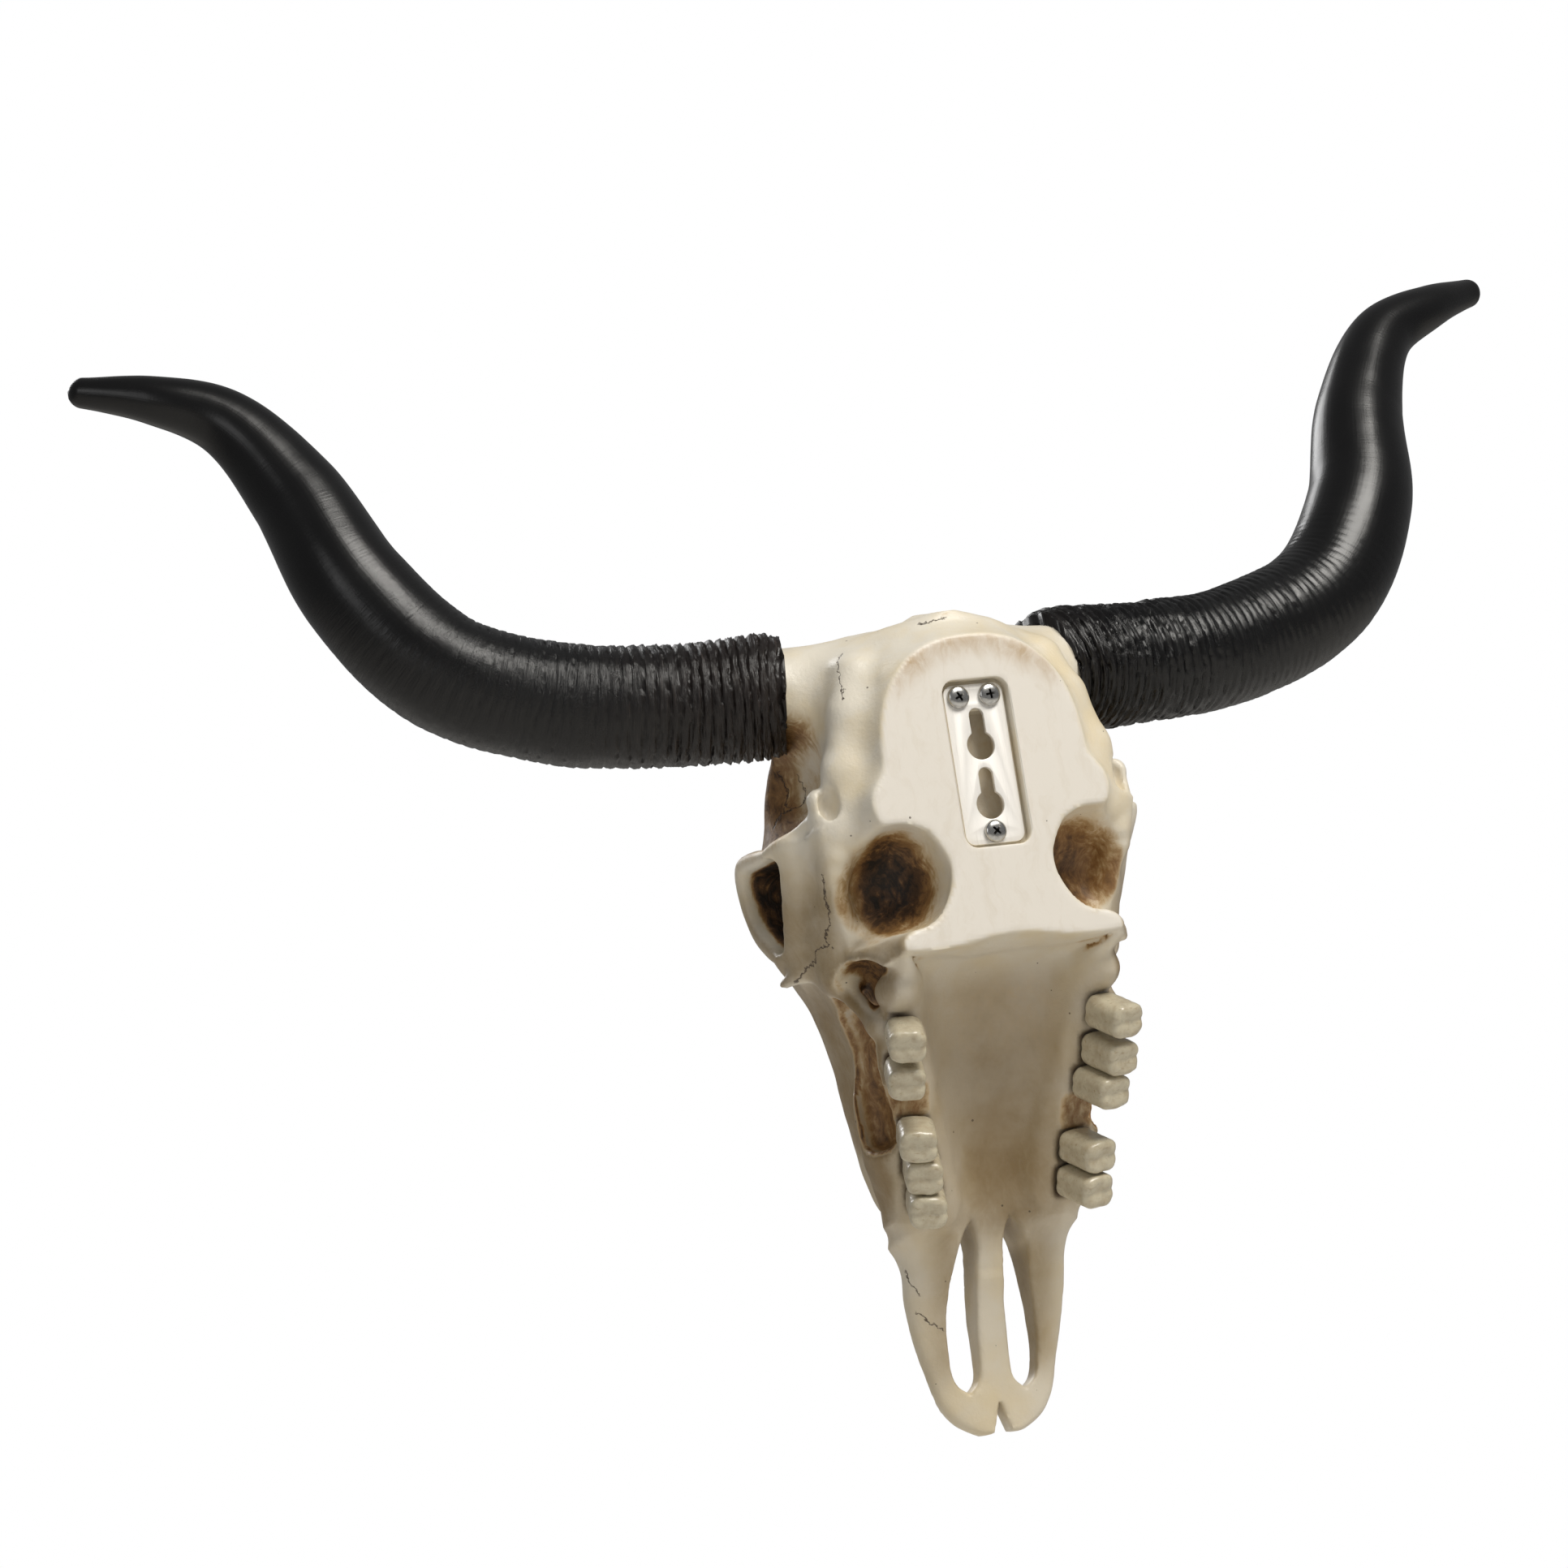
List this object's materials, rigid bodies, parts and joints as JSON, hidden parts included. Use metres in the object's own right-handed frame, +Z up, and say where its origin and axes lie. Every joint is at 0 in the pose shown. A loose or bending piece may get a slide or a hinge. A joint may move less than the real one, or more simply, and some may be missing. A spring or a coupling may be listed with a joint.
{
  "type": "longhorn steer skull wall ornament",
  "caption": "Longhorn steer skull cast in resin, with long curved black horns and a keyhole hanger plate let into its flat back, hung on a wall as an ornament.",
  "frame": {"origin": "on the flat back where it rests against the wall, on the midline, 46 mm below the middle of the hanger plate and 15 mm above the middle of the flat back's arched lower edge", "axes": "+Z up the wall, +Y out of the flat back into the wall, so that the face looks along -Y, and +X towards the steer's own left"},
  "size_m": [0.5594, 0.1177, 0.4138],
  "materials": {
    "skull_resin": "cream cast resin with a brown wash rubbed into its hollows and cracks, satin",
    "horn_resin": "black cast resin, ringed and matt at the base, smooth and satin towards the tip",
    "plate_metal": "pale satin metal sheet",
    "screw_metal": "bright zinc plating"
  },
  "bodies": {
    "root": {"skull": "skull_resin", "horn_left": "horn_resin", "horn_right": "horn_resin", "hanger_plate": "plate_metal", "screw_upper_left": "screw_metal", "screw_upper_right": "screw_metal", "screw_lower": "screw_metal"}
  },
  "joints": []
}
